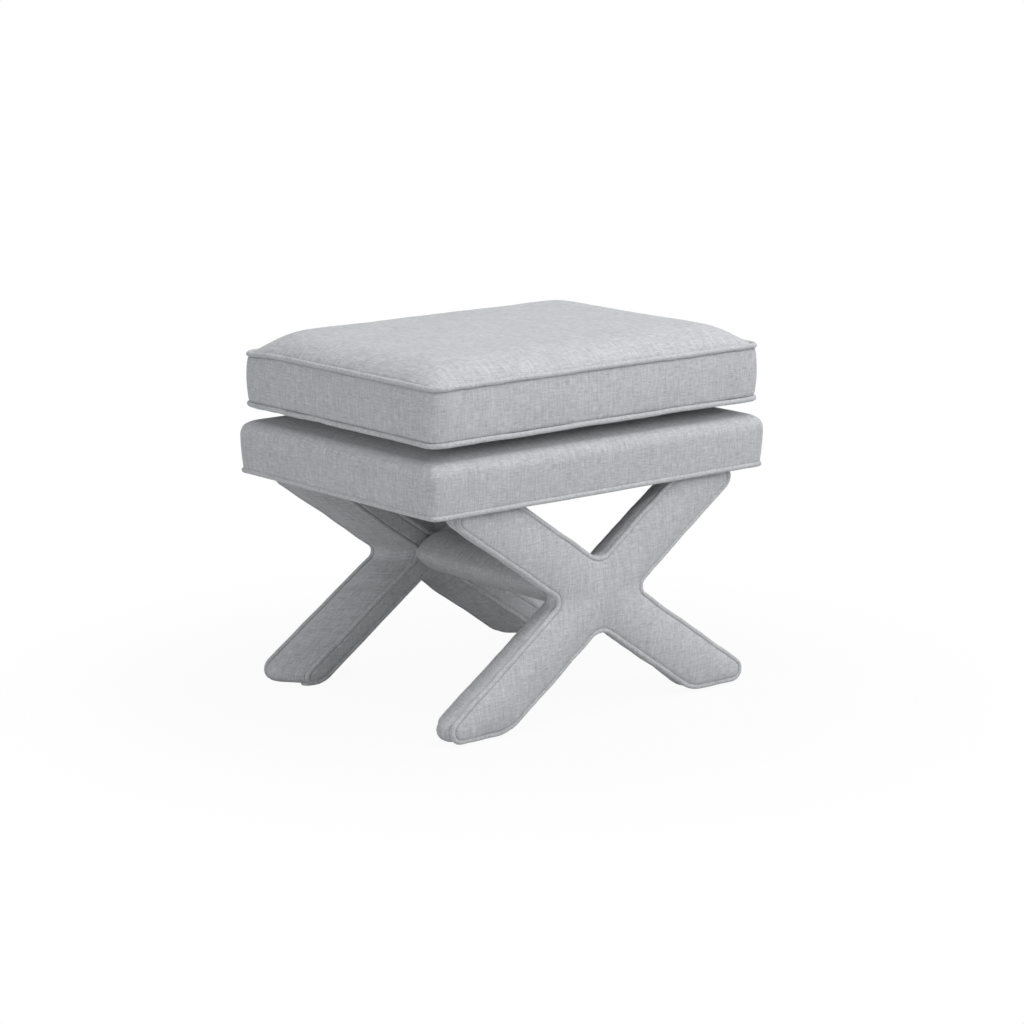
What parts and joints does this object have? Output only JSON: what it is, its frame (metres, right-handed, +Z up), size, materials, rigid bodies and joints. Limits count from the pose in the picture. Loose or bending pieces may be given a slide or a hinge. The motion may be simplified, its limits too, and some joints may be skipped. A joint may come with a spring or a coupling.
{
  "type": "x frame stool",
  "caption": "Fully upholstered bench stool: a loose welted box cushion on a padded deck, carried by two padded X frames joined by a padded stretcher.",
  "frame": {"origin": "middle of the footprint on the floor", "axes": "+Z up, +X along the long side, -Y is the front face with an X frame facing outwards"},
  "size_m": [0.5682, 0.4182, 0.4967],
  "materials": {
    "linen_cloth": "heathered grey linen weave, matt",
    "linen_piping": "self piping of the same linen",
    "plywood": "birch plywood, sawn",
    "timber": "planed hardwood, unfinished",
    "zinc_steel": "zinc plated",
    "nylon": "natural nylon",
    "foam": "open cell foam",
    "wadding": "polyester wadding",
    "dust_cover_felt": "black non-woven",
    "zip_tape": "grey woven tape",
    "zip_teeth": "grey coil",
    "zip_metal": "grey painted"
  },
  "bodies": {
    "root": {"front_x_outer_ply": "plywood", "front_x_rising_leg": "timber", "front_x_falling_leg": "timber", "front_x_leg_screws": "zinc_steel", "front_x_padding": "wadding", "front_x_outer_panel": "linen_cloth", "front_x_boxing": "linen_cloth", "front_x_inner_panel": "linen_cloth", "front_x_outer_welt": "linen_piping", "front_x_inner_welt": "linen_piping", "front_left_glide": "nylon", "front_right_glide": "nylon", "back_x_outer_ply": "plywood", "back_x_rising_leg": "timber", "back_x_falling_leg": "timber", "back_x_leg_screws": "zinc_steel", "back_x_padding": "wadding", "back_x_outer_panel": "linen_cloth", "back_x_boxing": "linen_cloth", "back_x_inner_panel": "linen_cloth", "back_x_outer_welt": "linen_piping", "back_x_inner_welt": "linen_piping", "back_left_glide": "nylon", "back_right_glide": "nylon", "frame_bolts": "zinc_steel", "frame_bolt_washers": "zinc_steel", "barrel_nuts": "zinc_steel", "stretcher_core_rail": "timber", "stretcher_padding": "wadding", "stretcher_cover": "linen_cloth", "stretcher_bolts": "zinc_steel", "stretcher_washers": "zinc_steel", "deck_front_rail": "timber", "deck_back_rail": "timber", "deck_left_rail": "timber", "deck_right_rail": "timber", "deck_corner_blocks": "timber", "deck_board": "plywood", "deck_foam": "foam", "deck_side_padding": "wadding", "deck_cover": "linen_cloth", "deck_welt": "linen_piping", "dust_cover": "dust_cover_felt", "dust_cover_staples": "zinc_steel"},
    "cushion": {"cushion_foam_core": "foam", "cushion_fibre_wrap": "wadding", "cushion_top_panel": "linen_cloth", "cushion_bottom_panel": "linen_cloth", "cushion_boxing": "linen_cloth", "cushion_zip_boxing": "linen_cloth", "zip_tapes": "zip_tape", "zip_chain": "zip_teeth", "cushion_top_welt": "linen_piping", "cushion_bottom_welt": "linen_piping"},
    "zip_slider": {"zip_slider": "zip_metal"}
  },
  "joints": [
    {"name": "cushion_lift", "type": "slide", "parent": "root", "child": "cushion", "axis": [0, 0, 1], "range_m": [0, 0.2]},
    {"name": "zip_slide", "type": "slide", "parent": "cushion", "child": "zip_slider", "axis": [-1, 0, 0], "range_m": [0, 0.384]}
  ]
}
